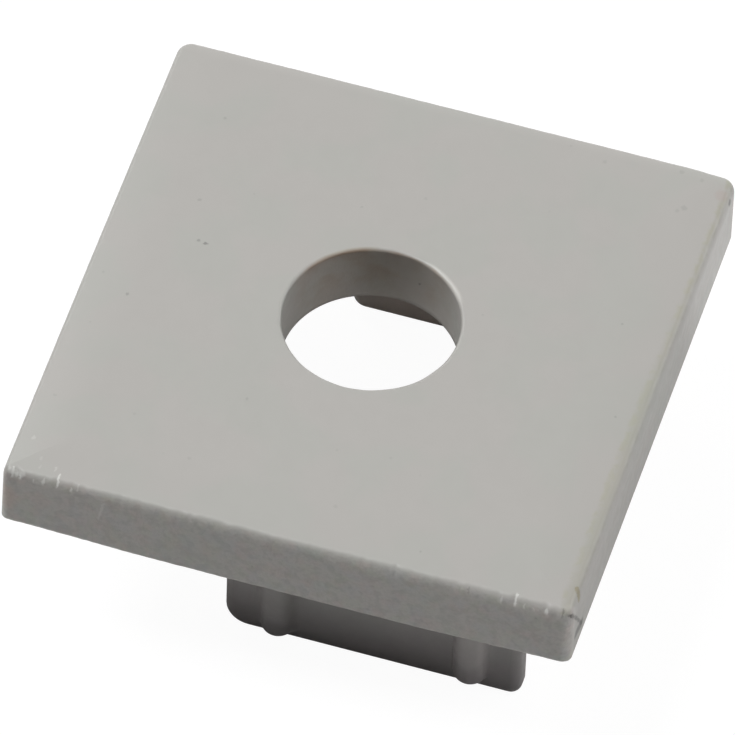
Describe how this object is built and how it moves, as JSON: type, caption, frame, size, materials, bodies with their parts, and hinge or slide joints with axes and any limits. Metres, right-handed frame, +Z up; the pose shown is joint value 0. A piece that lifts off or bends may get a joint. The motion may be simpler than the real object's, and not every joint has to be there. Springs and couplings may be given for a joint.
{
  "type": "profile end cap",
  "caption": "Square moulded end cap with a central cable hole and ribbed push-in legs that grip inside a hollow profile.",
  "frame": {"origin": "under the middle of the plate, level with the leg tips that the cap stands on", "axes": "+Z up towards the outer face, along the cable hole; +X towards the side of the plate that the legs lie nearer to; +Y across the legs, from the front leg to the rear one"},
  "size_m": [0.02, 0.02, 0.0082],
  "materials": {
    "cap_plastic": "matt light grey moulding, fine grained on the sides"
  },
  "bodies": {
    "root": {"end_cap": "cap_plastic"}
  },
  "joints": []
}
